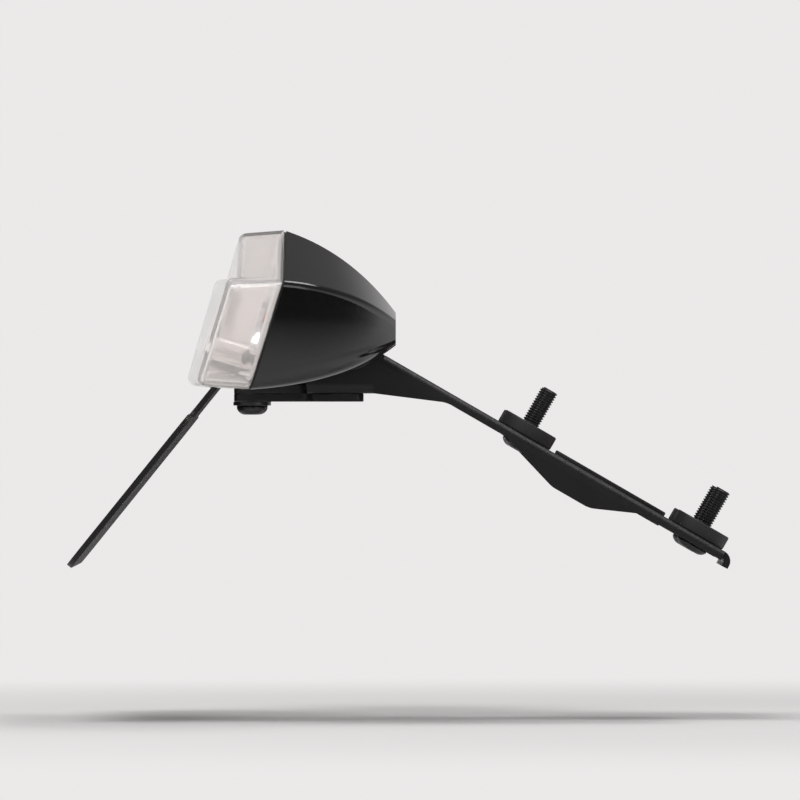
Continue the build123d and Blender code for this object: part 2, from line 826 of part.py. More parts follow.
# Indicator housing: a hollow wedge with a flat inner face for the stalk and a post for the lens screw
stem_axis = Plane(origin=(stem_x, -indicator_inner, stem_z), z_dir=(0, -1, 0))
plate_rear = seal_thickness + reflector_wall
screw_origin = joint.from_local_coords((lens_screw_out, lens_screw_up, plate_rear))
screw_seat = Plane(origin=screw_origin, x_dir=joint.x_dir, z_dir=joint.z_dir)
housing_outer = housing_form(0, 0)
housing_inner = housing_form(housing_wall, tip_wall)
with BuildPart() as lens_post:
    with BuildSketch(screw_seat.offset(-plate_rear)):
        Circle(post_diameter / 2)
    extrude(amount=-post_length)
    add(housing_outer, mode=Mode.INTERSECT)
    with BuildSketch(screw_seat):
        Circle(post_diameter / 2)
    extrude(amount=-plate_rear)

with BuildPart() as right_housing:
    add(housing_outer)
    add(housing_inner, mode=Mode.SUBTRACT)
    add(lens_post.part)
    with BuildSketch(screw_seat):
        Circle(lens_screw_diameter / 2 + thread_gap)
    extrude(amount=-lens_screw_length, mode=Mode.SUBTRACT)
    with BuildSketch(stem_axis):
        Circle(stem_hole_radius)
    extrude(amount=housing_wall, mode=Mode.SUBTRACT)

# Clear lens behind a thin seal, with a well for its screw
lens_outer = lens_form(0)
lens_inner = lens_form(lens_wall)
well_radius = lens_screw_head_diameter / 2 + 2 * fit_gap
with BuildPart() as screw_well:
    with BuildSketch(screw_seat):
        Circle(well_radius + lens_wall / 2)
    extrude(amount=2 * lens_reach)
    add(lens_outer, mode=Mode.INTERSECT)

with BuildPart() as right_lens:
    add(lens_outer)
    add(lens_inner, mode=Mode.SUBTRACT)
    add(screw_well.part)
    with BuildSketch(screw_seat):
        Circle((lens_screw_diameter + hole_clearance) / 2)
    extrude(amount=lens_screw_floor, mode=Mode.SUBTRACT)
    with BuildSketch(screw_seat.offset(lens_screw_floor)):
        Circle(well_radius)
    extrude(amount=2 * lens_reach, mode=Mode.SUBTRACT)

lens_screw_form = button_bolt(
    lens_screw_diameter,
    lens_screw_length,
    lens_screw_head_diameter,
    lens_screw_head_height,
    lens_screw_socket,
    lens_screw_socket_depth,
)
with BuildPart() as lens_screws:
    with Locations(Plane(origin=screw_seat.offset(lens_screw_floor).origin, z_dir=-joint.z_dir)):
        add(lens_screw_form)
    mirror(about=Plane.XZ)

seal_outer = trimmed_slab(seal_inset, 0, seal_thickness)
seal_inner = trimmed_slab(seal_inset + seal_width, 0, seal_thickness)
with BuildPart() as right_lens_seal:
    add(seal_outer)
    add(seal_inner, mode=Mode.SUBTRACT)

# Reflector: a plate on the seal with a bowl sunk into the housing
bowl_origin = joint.from_local_coords((bowl_out, bowl_up, 0))
bowl_centre = Plane(origin=bowl_origin, x_dir=joint.x_dir, z_dir=joint.z_dir)
bowl_axis = Axis(bowl_origin, joint.z_dir)
bowl_side = Plane(origin=bowl_origin, x_dir=joint.x_dir, z_dir=-joint.y_dir)
wall_diagonal = reflector_wall * cos(radians(45))
plate_outline = trimmed_slab(lens_wall + reflector_gap, seal_thickness, reflector_wall)
with BuildPart() as right_reflector:
    add(plate_outline)
    with BuildSketch(bowl_centre):
        Circle(bowl_radius)
    extrude(amount=plate_rear, mode=Mode.SUBTRACT)
    with BuildSketch(screw_seat):
        Circle(post_diameter / 2 + 2 * fit_gap)
    extrude(amount=-plate_rear, mode=Mode.SUBTRACT)
    with BuildSketch(bowl_side):
        with BuildLine():
            inner_curve = ThreePointArc(
                (bowl_radius, plate_rear),
                (bowl_waist_radius, -bowl_waist_depth),
                (bowl_base_radius, -bowl_depth),
            )
            outer_curve = ThreePointArc(
                (bowl_radius + reflector_wall, plate_rear - reflector_wall),
                (bowl_waist_radius + wall_diagonal, -bowl_waist_depth - wall_diagonal),
                (bowl_base_radius, -bowl_depth - reflector_wall),
            )
            Polyline(
                inner_curve @ 1,
                (holder_neck_radius + fit_gap, -bowl_depth),
                (holder_neck_radius + fit_gap, -bowl_depth - reflector_wall),
                outer_curve @ 1,
            )
            Polyline(inner_curve @ 0, (bowl_radius + reflector_wall, plate_rear), outer_curve @ 0)
        make_face()
    revolve(axis=bowl_axis)

# Bulb holder against the back of the bowl, and the amber bulb in it
holder_seat = -bowl_depth - reflector_wall
holder_floor = holder_seat - holder_flange - holder_length
with BuildPart() as right_bulb_holder:
    with BuildSketch(bowl_side):
        with BuildLine():
            Polyline(
                (bulb_base_radius + fit_gap, holder_seat + reflector_wall),
                (holder_neck_radius, holder_seat + reflector_wall),
                (holder_neck_radius, holder_seat),
                (holder_flange_radius, holder_seat),
                (holder_flange_radius, holder_seat - holder_flange),
                (holder_radius, holder_seat - holder_flange),
                (holder_radius, holder_floor),
                (0, holder_floor),
                (0, holder_floor + holder_flange),
                (bulb_base_radius + fit_gap, holder_floor + holder_flange),
                close=True,
            )
        make_face()
    revolve(axis=bowl_axis)

bulb_foot = holder_floor + holder_flange
bulb_neck = holder_seat + reflector_wall + fit_gap
with BuildPart() as right_bulb:
    with BuildSketch(bowl_side):
        with BuildLine():
            flank = Line((bulb_base_radius, bulb_neck), (bulb_radius, bulb_neck + bulb_widest))
            envelope = CenterArc((0, bulb_neck + bulb_widest), bulb_radius, 0, 90)
            Polyline(envelope @ 1, (0, bulb_foot), (bulb_base_radius, bulb_foot), flank @ 0)
        make_face()
    revolve(axis=bowl_axis)

# Rubber stalk between the ear and the housing
with BuildPart() as right_stalk:
    with BuildSketch(stem_axis.offset(-stalk_length)):
        SlotOverall(stalk_long, stalk_short, rotation=slope_angle)
        Circle(stem_hole_radius, mode=Mode.SUBTRACT)
    extrude(amount=stalk_length)
    # Grooves round it let the rubber bend
    groove_step = (stalk_length - stalk_grooves * stalk_groove) / (stalk_grooves + 1)
    for groove in range(1, stalk_grooves + 1):
        with BuildSketch(stem_axis.offset(-groove * groove_step - (groove - 1) * stalk_groove)):
            SlotOverall(stalk_long, stalk_short, rotation=slope_angle)
            SlotOverall(
                stalk_long - 2 * stalk_groove_depth,
                stalk_short - 2 * stalk_groove_depth,
                rotation=slope_angle,
                mode=Mode.SUBTRACT,
            )
        extrude(amount=-stalk_groove, mode=Mode.SUBTRACT)

# Hollow threaded stems, their washers and nuts inside the ears
stem_nut_seat = ear_inner - stem_washer_thickness
stem_end = stem_nut_seat - stem_nut_height - stem_tail
stem_hidden = indicator_inner + housing_wall
with BuildPart() as stem_form:
    with BuildSketch(Plane.XZ.offset(stem_end)):
        with Locations((stem_x, stem_z)):
            Circle(stem_diameter / 2)
    extrude(amount=stem_hidden - stem_end)
    with BuildSketch(Plane.XZ.offset(stem_hidden)):
        with Locations((stem_x, stem_z)):
            Circle(stem_head_diameter / 2)
    extrude(amount=stem_head_height)
    with BuildSketch(Plane.XZ.offset(stem_end)):
        with Locations((stem_x, stem_z)):
            Circle(stem_bore / 2)
    extrude(amount=stem_hidden + stem_head_height - stem_end, mode=Mode.SUBTRACT)

with BuildPart() as indicator_stems:
    add(stem_form.part)
    mirror(about=Plane.XZ)

stem_washer_form = washer(stem_washer_diameter, stem_hole_radius, stem_washer_thickness)
with BuildPart() as stem_washers:
    with Locations(Plane(origin=(stem_x, -ear_inner, stem_z), z_dir=(0, 1, 0))):
        add(stem_washer_form)
    mirror(about=Plane.XZ)

stem_nut_form = nut(stem_nut_across_flats, stem_nut_height, stem_diameter / 2 + thread_gap)
with BuildPart() as stem_nuts:
    with Locations(Plane(origin=(stem_x, -stem_nut_seat, stem_z), z_dir=(0, 1, 0))):
        add(stem_nut_form)
    mirror(about=Plane.XZ)

pieces = {
    "main_bracket": main_bracket.part,
    "mount_spacers": mount_spacers.part,
    "mount_bolts": mount_bolts.part,
    "mount_washers": mount_washers.part,
    "cable_grommet": cable_grommet.part,
    "hanger_arm": hanger_arm.part,
    "arm_bolts": arm_bolts.part,
    "arm_washers": arm_washers.part,
    "arm_nuts": arm_nuts.part,
    "plate_hanger": plate_hanger.part,
    "hanger_pad": hanger_pad.part,
    "hanger_bolts": hanger_bolts.part,
    "hanger_washers": hanger_washers.part,
    "hanger_nuts": hanger_nuts.part,
    "lamp_housing": lamp_housing.part,
    "lamp_lens": lamp_lens.part,
    "lamp_gasket": lamp_gasket.part,
    "lamp_board": lamp_board.part,
    "lamp_screws": lamp_screws.part,
    "lens_screws": lens_screws.part,
    "indicator_stems": indicator_stems.part,
    "stem_washers": stem_washers.part,
    "stem_nuts": stem_nuts.part,
}

# The left indicator mirrors the right one
right_pieces = {
    "indicator_housing": right_housing.part,
    "indicator_lens": right_lens.part,
    "lens_seal": right_lens_seal.part,
    "reflector": right_reflector.part,
    "bulb_holder": right_bulb_holder.part,
    "bulb": right_bulb.part,
    "stalk": right_stalk.part,
}
for name, piece in right_pieces.items():
    pieces[f"right_{name}"] = piece
    pieces[f"left_{name}"] = mirror(piece, about=Plane.XZ)

for name, piece in pieces.items():
    piece.label = name
    export_step(piece, f"parts/{name}.step")
    size = piece.bounding_box().size
    print(f"{name}: {len(piece.solids())} solids, {size.X:.1f} x {size.Y:.1f} x {size.Z:.1f} mm")
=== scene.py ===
# %% [markdown]
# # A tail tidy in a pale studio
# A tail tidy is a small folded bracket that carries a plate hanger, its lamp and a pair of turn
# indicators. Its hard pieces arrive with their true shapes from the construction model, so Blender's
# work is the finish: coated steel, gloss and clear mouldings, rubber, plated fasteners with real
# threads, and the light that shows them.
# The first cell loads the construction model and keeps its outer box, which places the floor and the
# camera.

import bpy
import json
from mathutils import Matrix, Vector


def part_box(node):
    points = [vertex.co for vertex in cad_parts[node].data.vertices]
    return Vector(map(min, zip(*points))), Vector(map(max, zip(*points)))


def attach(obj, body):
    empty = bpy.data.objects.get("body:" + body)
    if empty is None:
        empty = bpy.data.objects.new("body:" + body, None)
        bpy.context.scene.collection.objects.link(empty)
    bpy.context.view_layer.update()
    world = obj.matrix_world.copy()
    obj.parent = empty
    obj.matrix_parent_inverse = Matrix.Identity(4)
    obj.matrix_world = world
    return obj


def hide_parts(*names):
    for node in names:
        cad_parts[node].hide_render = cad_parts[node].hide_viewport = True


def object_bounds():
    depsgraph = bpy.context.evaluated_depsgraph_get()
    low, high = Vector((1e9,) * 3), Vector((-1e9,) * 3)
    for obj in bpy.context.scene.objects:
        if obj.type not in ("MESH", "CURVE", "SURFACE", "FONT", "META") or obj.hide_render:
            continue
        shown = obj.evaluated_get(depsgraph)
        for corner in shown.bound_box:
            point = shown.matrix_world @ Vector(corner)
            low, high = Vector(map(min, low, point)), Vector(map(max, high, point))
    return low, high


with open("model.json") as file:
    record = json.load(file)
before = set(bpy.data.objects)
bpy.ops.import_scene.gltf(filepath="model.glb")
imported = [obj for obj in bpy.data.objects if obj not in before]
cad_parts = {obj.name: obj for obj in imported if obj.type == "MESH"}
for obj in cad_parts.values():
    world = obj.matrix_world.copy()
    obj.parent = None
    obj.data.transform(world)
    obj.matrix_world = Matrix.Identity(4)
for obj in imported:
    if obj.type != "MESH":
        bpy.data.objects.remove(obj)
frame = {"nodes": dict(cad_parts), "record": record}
cad_low, cad_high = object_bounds()
print("CAD box in metres:", [round(x, 4) for x in cad_low], [round(x, 4) for x in cad_high])

# %% [markdown]
# ## The mounting slope
# The bracket's web lies along a slope, and four bolts stand at right angles to it, at the corners of
# a square. Their direction and the circle through them could be typed in, but the record gives both
# for its first mount, and values that are read from there always fit the construction model.

# %% Read the mounting slope
import json
import math

import bmesh
import bpy
from mathutils import Vector

MM = 0.001
BODY = "root"
nodes = frame["nodes"]
slope_mount = frame["record"]["mounts"][0]
slope_normal = Vector(slope_mount["axis"]).normalized()
slope_along = Vector((slope_normal.z, 0, -slope_normal.x))
bolt_circle = slope_mount["dims"]["pcd_mm"] * MM
stud_reach = bolt_circle / 2 / math.sqrt(2)
print(f"{len(nodes)} nodes, mounting slope {math.degrees(math.asin(slope_normal.x)):.1f} degrees")

# %% [markdown]
# ## Small helpers for node trees
# The finishes and the threads are both node trees, and every tree is built in the same way: add a
# node, set its values, link its sockets. All of that could be written out, but a few short helpers
# keep the later cells about the finish and not about the wiring.


# %% Add a node and feed its sockets
def add(tree, kind, **settings):
    """A new node of this kind with these settings."""
    node = tree.nodes.new(kind)
    for key, value in settings.items():
        setattr(node, key, value)
    return node


def feed(tree, socket, value):
    """Links a socket to another one or sets its value, and leaves it alone for None."""
    if isinstance(value, bpy.types.NodeSocket):
        tree.links.new(value, socket)
    elif value is not None:
        socket.default_value = value


print("wiring helpers: add, feed")


# %% Arithmetic on numbers in a tree
def maths(tree, operation, first, second=None):
    """The output of a math node on sockets or plain numbers."""
    node = add(tree, "ShaderNodeMath", operation=operation)
    feed(tree, node.inputs[0], first)
    feed(tree, node.inputs[1], second)
    return node.outputs[0]


def held(tree, value):
    """A value held between 0 and 1."""
    return maths(tree, "MINIMUM", maths(tree, "MAXIMUM", value, 0.0), 1.0)


def remapped(tree, value, source=(0.0, 1.0), result=(0.0, 1.0), curve="LINEAR"):
    """A value moved from one range to another and held at its ends."""
    node = add(tree, "ShaderNodeMapRange", interpolation_type=curve)
    feed(tree, node.inputs["Value"], value)
    feed(tree, node.inputs["From Min"], source[0])
    feed(tree, node.inputs["From Max"], source[1])
    feed(tree, node.inputs["To Min"], result[0])
    feed(tree, node.inputs["To Max"], result[1])
    return node.outputs[0]


print("number helpers: maths, held, remapped")


# %% Arithmetic on vectors in a tree
def scaled(tree, vector, factor):
    """A vector or a colour times a number."""
    node = add(tree, "ShaderNodeVectorMath", operation="SCALE")
    feed(tree, node.inputs[0], vector)
    feed(tree, node.inputs["Scale"], factor)
    return node.outputs[0]


def vector_of(tree, x, y, z):
    """A vector from three numbers."""
    node = add(tree, "ShaderNodeCombineXYZ")
    feed(tree, node.inputs["X"], x)
    feed(tree, node.inputs["Y"], y)
    feed(tree, node.inputs["Z"], z)
    return node.outputs[0]


def parts_of(tree, vector):
    """The X, Y and Z of a vector."""
    node = add(tree, "ShaderNodeSeparateXYZ")
    feed(tree, node.inputs[0], vector)
    return node.outputs


print("vector helpers: scaled, vector_of, parts_of")


# %% Groups with named sockets
def node_group(name, kind, inputs, outputs):
    """A node group with named sockets, and the nodes at its two ends."""
    tree = bpy.data.node_groups.new(name, f"{kind}NodeTree")
    for way, sockets in (("INPUT", inputs), ("OUTPUT", outputs)):
        for label, holds in sockets.items():
            tree.interface.new_socket(label, in_out=way, socket_type=f"NodeSocket{holds}")
    return tree, add(tree, "NodeGroupInput"), add(tree, "NodeGroupOutput")


def effect(tree, group, **values):
    """The output of a shader group placed in a tree, with its inputs fed by name."""
    node = add(tree, "ShaderNodeGroup", node_tree=group)
    for label, value in values.items():
        feed(tree, node.inputs[label], value)
    return node.outputs[0]


print("group helpers: node_group, effect")

# %% [markdown]
# ## Fine grain
# No real surface has one even gloss: coating, plating and mouldings all carry a fine grain. An image
# could hold it, but noise from a node has neither seams nor pixels. This group reads Object
# coordinates, so the grain keeps its size in millimetres on every piece. Blender's noise stays near
# its middle value, so it is stretched to the full range.

# %% Grain of a set size
NOISE_RANGE = (0.3, 0.7)


def grain_group():
    """Noise of a set feature size, stretched to the full range from 0 to 1."""
    inputs = {"Size": "Float", "Detail": "Float"}
    tree, given, made = node_group("fine_grain", "Shader", inputs, {"Value": "Float"})
    noise = add(tree, "ShaderNodeTexNoise")
    feed(tree, noise.inputs["Vector"], add(tree, "ShaderNodeTexCoord").outputs["Object"])
    feed(tree, noise.inputs["Scale"], maths(tree, "DIVIDE", 1.0, given.outputs["Size"]))
    feed(tree, noise.inputs["Detail"], given.outputs["Detail"])
    feed(tree, made.inputs["Value"], remapped(tree, noise.outputs[0], NOISE_RANGE))
    return tree


fine_grain = grain_group()
print("made", fine_grain.name, "with", len(fine_grain.nodes), "nodes")

# %% [markdown]
# ## Slow drift of tone
# Seen from a step away, paint and plastic are never quite one colour. Two colours could be mixed by
# hand for each finish. Here the same noise at a size of centimetres makes any colour a little lighter
# and darker, so each finish needs only its one colour.

# %% Tone that drifts
DRIFT_DETAIL = 3.0


def tone_group():
    """A colour that drifts a little lighter and darker over the surface."""
    inputs = {"Color": "Color", "Size": "Float", "Amount": "Float"}
    tree, given, made = node_group("tone_drift", "Shader", inputs, {"Color": "Color"})
    drift = effect(tree, fine_grain, Size=given.outputs["Size"], Detail=DRIFT_DETAIL)
    swing = maths(tree, "MULTIPLY", maths(tree, "SUBTRACT", drift, 0.5), given.outputs["Amount"])
    factor = maths(tree, "ADD", swing, 1.0)
    feed(tree, made.inputs["Color"], scaled(tree, given.outputs["Color"], factor))
    return tree


tone_drift = tone_group()
print("made", tone_drift.name, "with", len(tone_drift.nodes), "nodes")

# %% [markdown]
# ## Settled dust
# A part that works out of doors gathers a little dust on what faces up. It could be painted on each
# piece by hand. The surface's own normal already says which way it faces, so this group takes the
# upward share of the normal and breaks it into patches with the grain.

# %% Dust on what faces up
DUST_PATCH = 8 * MM
PATCH_DETAIL = 6.0


def dust_group():
    """A mask of patchy dust on faces that look up."""
    tree, given, made = node_group("settled_dust", "Shader", {"Amount": "Float"}, {"Mask": "Float"})
    facing = parts_of(tree, add(tree, "ShaderNodeNewGeometry").outputs["Normal"])
    upward = maths(tree, "MAXIMUM", facing["Z"], 0.0)
    patches = effect(tree, fine_grain, Size=DUST_PATCH, Detail=PATCH_DETAIL)
    patchy = maths(tree, "MULTIPLY", upward, patches)
    feed(tree, made.inputs["Mask"], maths(tree, "MULTIPLY", patchy, given.outputs["Amount"]))
    return tree


settled_dust = dust_group()
print("made", settled_dust.name, "with", len(settled_dust.nodes), "nodes")

# %% [markdown]
# ## Rubbed edges
# Handling wears a coat first along its edges. A shader can look for edges by itself, but that search
# is slow and noisy. The edges that are eased further down carry an attribute instead, and this group
# turns it into patches of rubbing.

# %% Rubbing on eased edges
RUB_PATCH = 5 * MM
RUB_RANGE = (0.45, 0.95)
WEAR_LAYER = "edge_wear"


def rub_group():
    """A mask of patchy rubbing on faces that carry the wear attribute."""
    tree, given, made = node_group("edge_rub", "Shader", {"Amount": "Float"}, {"Mask": "Float"})
    patches = effect(tree, fine_grain, Size=RUB_PATCH, Detail=PATCH_DETAIL)
    edge = add(tree, "ShaderNodeAttribute", attribute_name=WEAR_LAYER)
    on_edge = maths(tree, "MULTIPLY", edge.outputs["Fac"], remapped(tree, patches, RUB_RANGE))
    feed(tree, made.inputs["Mask"], maths(tree, "MULTIPLY", on_edge, given.outputs["Amount"]))
    return tree


edge_rub = rub_group()
print("made", edge_rub.name, "with", len(edge_rub.nodes), "nodes")

# %% [markdown]
# ## One recipe for every solid finish
# Powder coat, plating, nylon, rubber and moulded plastic differ in numbers and not in kind: a colour
# with a slow drift, a gloss that the grain makes uneven, a relief of a few thousandths of a
# millimetre, and traces of rubbing and dust. Each could have a tree of its own, but then a change
# would have to be made in all of them. So one function builds them, and each finish is a call with
# its own values. The gloss comes from the shader and the lights, never from painted highlights.

# %% Gloss and relief from the grain
SMOOTH_DETAIL = 1.0


def new_material(name):
    """A new material, its node tree and its Principled shader."""
    material = bpy.data.materials.new(name)
    material.use_nodes = True
    return material, material.node_tree, material.node_tree.nodes["Principled BSDF"]


def grain_to_gloss(tree, shader, size, roughness, relief):
    """Lets the grain drive a shader's gloss and relief."""
    grain = effect(tree, fine_grain, Size=size, Detail=SMOOTH_DETAIL)
    feed(tree, shader.inputs["Roughness"], remapped(tree, grain, result=roughness))
    bump = add(tree, "ShaderNodeBump")
    feed(tree, bump.inputs["Strength"], 1.0)
    feed(tree, bump.inputs["Distance"], relief)
    feed(tree, bump.inputs["Height"], grain)
    feed(tree, shader.inputs["Normal"], bump.outputs["Normal"])


print("material helpers: new_material, grain_to_gloss")

# %% The recipe for solid finishes
DRIFT_SIZE = 12 * MM
DUST_COLOUR = (0.32, 0.30, 0.27, 1)
RUBBED_COLOUR = (0.16, 0.155, 0.15, 1)


def covered(tree, colour, cover, group, amount):
    """A colour under traces of another one, where a group's mask lets them show."""
    if not amount:
        return colour
    blend = add(tree, "ShaderNodeMix", data_type="RGBA")
    feed(tree, blend.inputs["Factor"], effect(tree, group, Amount=amount))
    feed(tree, blend.inputs["A"], colour)
    feed(tree, blend.inputs["B"], cover)
    return blend.outputs["Result"]


def solid_finish(
    name, colour, drift, grain, roughness, relief, metal=0.0, dust=0.0, rub=0.0, refraction=1.5
):
    """A Principled material whose colour, gloss and relief vary over the surface."""
    material, tree, shader = new_material(name)
    feed(tree, shader.inputs["Metallic"], metal)
    feed(tree, shader.inputs["IOR"], refraction)
    tone = effect(tree, tone_drift, Color=(*colour, 1), Size=DRIFT_SIZE, Amount=drift)
    tone = covered(tree, tone, RUBBED_COLOUR, edge_rub, rub)
    tone = covered(tree, tone, DUST_COLOUR, settled_dust, dust)
    feed(tree, shader.inputs["Base Color"], tone)
    grain_to_gloss(tree, shader, grain, roughness, relief)
    print("made", name)
    return material


print("recipe for solid finishes: solid_finish")

# %% [markdown]
# ## Black powder coat
# The bracket, the arm and the plate hanger are steel sheet under powder coat, a baked skin with a
# soft sheen and a faint mottle. A paint shader with a separate coat could make it. A plain black with
# a middling roughness is enough, and a low refraction keeps sheet that is seen edge-on from turning
# milky. The coat wears along its edges, so it takes a good share of rubbing.

# %% Powder coat
powder_coat = solid_finish(
    "powder_coat",
    colour=(0.007, 0.007, 0.0068),
    drift=0.3,
    grain=1.1 * MM,
    roughness=(0.38, 0.5),
    relief=0.001 * MM,
    dust=0.02,
    rub=0.35,
    refraction=1.38,
)

# %% [markdown]
# ## Plated and turned steel
# Bolts, washers, nuts and screws are black plated: a thin dark skin on steel that shines like metal
# and wears grey along its edges. It could be painted black, but then it would shine like plastic, so
# it is made mostly metallic. The indicators' hollow stems are bare turned steel, fully metallic and
# much paler.

# %% Black plating and turned steel
black_plating = solid_finish(
    "black_plating",
    colour=(0.045, 0.045, 0.047),
    drift=0.3,
    grain=0.4 * MM,
    roughness=(0.25, 0.42),
    relief=0.002 * MM,
    metal=0.7,
    dust=0.03,
    rub=0.5,
)
turned_steel = solid_finish(
    "turned_steel",
    colour=(0.42, 0.41, 0.40),
    drift=0.15,
    grain=0.3 * MM,
    roughness=(0.22, 0.36),
    relief=0.003 * MM,
    metal=1.0,
)

# %% [markdown]
# ## Nylon and rubber
# The mounting spacers and the bulb holders are black nylon. The stalks, the lens seals, the lamp's
# gasket, the hanger's pad and the cable grommet are black rubber. Their colours could be set apart
# to tell one from the other, but on the real part only the gloss does that, so the rubber is rougher
# and gathers a little more dust.

# %% Black nylon and black rubber
black_nylon = solid_finish(
    "black_nylon",
    colour=(0.016, 0.016, 0.016),
    drift=0.25,
    grain=0.5 * MM,
    roughness=(0.45, 0.6),
    relief=0.006 * MM,
    dust=0.04,
)
black_rubber = solid_finish(
    "black_rubber",
    colour=(0.014, 0.0138, 0.0135),
    drift=0.3,
    grain=0.35 * MM,
    roughness=(0.6, 0.78),
    relief=0.008 * MM,
    dust=0.05,
)

# %% [markdown]
# ## Moulded housings
# The indicator housings are moulded in gloss black. Almost all that the eye sees on them is mirrored,
# so their own colour is close to nothing, the roughness is low, and a slow ripple stands for the flow
# of the plastic in its mould. Clear coat over black could give the same look, but one hard surface
# with the refraction of the plastic itself is simpler. The plate lamp's housing is black too, with
# the fine texture of a matt mould.

# %% Gloss housing and matt lamp plastic
gloss_housing = solid_finish(
    "gloss_housing",
    colour=(0.005, 0.005, 0.0048),
    drift=0.2,
    grain=2.5 * MM,
    roughness=(0.09, 0.14),
    relief=0.0015 * MM,
    dust=0.006,
    refraction=1.58,
)
lamp_plastic = solid_finish(
    "lamp_plastic",
    colour=(0.014, 0.014, 0.0145),
    drift=0.2,
    grain=0.3 * MM,
    roughness=(0.4, 0.52),
    relief=0.006 * MM,
    dust=0.04,
)

# %% [markdown]
# ## What shines behind the lenses
# Behind each clear lens is a reflector with a thin layer of bright metal on it, and behind the plate
# lamp's window is a pale light board. Both stay clean, so they take neither dust nor rubbing. They
# could be made to glow, but the part is shown switched off, so all they show is the studio's light.

# %% Bright reflector and light board
bright_reflector = solid_finish(
    "bright_reflector",
    colour=(0.82, 0.82, 0.83),
    drift=0.05,
    grain=3.0 * MM,
    roughness=(0.06, 0.14),
    relief=0.01 * MM,
    metal=1.0,
)
light_board = solid_finish(
    "light_board",
    colour=(0.62, 0.63, 0.60),
    drift=0.1,
    grain=0.4 * MM,
    roughness=(0.4, 0.5),
    relief=0.004 * MM,
)

# %% [markdown]
# ## Clear mouldings
# The indicator lenses and the lamp's window are clear plastic, a little uneven from the mould, and
# the bulbs are amber glass. A see-through surface could be made with plain transparency, but only
# glass bends what lies behind it. Glass in a path tracer keeps lamp light from what is behind it, so
# for shadow rays the surface turns transparent: then the reflector and the bulb inside are lit as
# they are in the open.


# %% The recipe for clear finishes
def mixed_shader(tree, factor, first, second):
    """A blend of two shaders."""
    mix = add(tree, "ShaderNodeMixShader")
    feed(tree, mix.inputs["Fac"], factor)
    feed(tree, mix.inputs[1], first)
    feed(tree, mix.inputs[2], second)
    return mix.outputs[0]


def clear_finish(name, colour, shadow_colour, clarity, refraction, roughness, ripple, relief):
    """Glass that lets lamp light through to what lies behind it."""
    material, tree, shader = new_material(name)
    feed(tree, shader.inputs["Base Color"], (*colour, 1))
    feed(tree, shader.inputs["Transmission Weight"], clarity)
    feed(tree, shader.inputs["IOR"], refraction)
    grain_to_gloss(tree, shader, ripple, roughness, relief)
    lit_through = add(tree, "ShaderNodeBsdfTransparent")
    feed(tree, lit_through.inputs["Color"], (*shadow_colour, 1))
    shadow_ray = add(tree, "ShaderNodeLightPath").outputs["Is Shadow Ray"]
    surface = mixed_shader(tree, shadow_ray, shader.outputs["BSDF"], lit_through.outputs["BSDF"])
    feed(tree, tree.nodes["Material Output"].inputs["Surface"], surface)
    print("made", name)
    return material


print("recipe for clear finishes: clear_finish")

# %% Clear lens, lamp window and amber bulb
clear_lens = clear_finish(
    "clear_lens",
    colour=(0.98, 0.955, 0.945),
    shadow_colour=(0.9, 0.89, 0.88),
    clarity=0.86,
    refraction=1.49,
    roughness=(0.04, 0.1),
    ripple=9 * MM,
    relief=0.02 * MM,
)
lamp_window = clear_finish(
    "lamp_window",
    colour=(0.97, 0.98, 0.985),
    shadow_colour=(0.9, 0.9, 0.9),
    clarity=0.95,
    refraction=1.49,
    roughness=(0.02, 0.06),
    ripple=6 * MM,
    relief=0.01 * MM,
)
amber_bulb = clear_finish(
    "amber_bulb",
    colour=(1.0, 0.5, 0.08),
    shadow_colour=(0.95, 0.5, 0.12),
    clarity=0.95,
    refraction=1.3,
    roughness=(0.1, 0.2),
    ripple=4 * MM,
    relief=0.01 * MM,
)

# %% [markdown]
# ## Give each node its finish
# Every piece of the construction model is a node, and the record names a material slot for each. The
# finishes could be given out piece by piece. A table from slots to finishes does it in one loop, and
# two pieces of one material then always look alike.

# %% Assign the finishes
FINISH = {
    "powder_coat": powder_coat,
    "black_steel": black_plating,
    "plain_steel": turned_steel,
    "black_nylon": black_nylon,
    "black_rubber": black_rubber,
    "gloss_housing": gloss_housing,
    "clear_lens": clear_lens,
    "bright_reflector": bright_reflector,
    "amber_bulb": amber_bulb,
    "lamp_plastic": lamp_plastic,
    "lamp_window": lamp_window,
    "light_board": light_board,
}
slot_of = {part["node"]: part["material_slot"] for part in frame["record"]["subparts"]}
for name, node in nodes.items():
    for index in range(len(node.data.materials)):
        node.data.materials[index] = FINISH[slot_of[name]]
print("finished nodes:", len(nodes))

# %% [markdown]
# ## Eased edges
# The construction model's sheet and plate end in knife-sharp edges. Real sheet is deburred before it
# is coated, and that small radius is what catches the light along every cut and hole. A Bevel
# modifier could round them. Here it is done on a working copy of each plain piece, because there the
# facets of one plane can be joined first and the new faces can be marked for wear.

# %% Round the hard edges of a working copy
JOIN = 0.002 * MM
FLAT_ANGLE = math.radians(0.4)
HARD_ANGLE = math.radians(30)
EDGE_STEPS = 2


def node_form(name):
    """A joined-up working copy of a CAD node's mesh."""
    form = bmesh.new()
    form.from_mesh(nodes[name].data)
    form.transform(nodes[name].matrix_world)
    bmesh.ops.remove_doubles(form, verts=form.verts, dist=JOIN)
    return form


def ease(form, width):
    """Joins facets that lie in one plane, rounds the hard edges and marks them for wear."""
    bmesh.ops.dissolve_limit(form, angle_limit=FLAT_ANGLE, verts=form.verts, edges=form.edges)
    hard = [edge for edge in form.edges if edge.is_manifold and edge.calc_face_angle() > HARD_ANGLE]
    wear = form.faces.layers.float.new(WEAR_LAYER)
    rounded = bmesh.ops.bevel(
        form,
        geom=hard,
        offset=width,
        offset_type="OFFSET",
        segments=EDGE_STEPS,
        profile=0.5,
        affect="EDGES",
        clamp_overlap=True,
    )
    for face in rounded["faces"]:
        face[wear] = 1.0


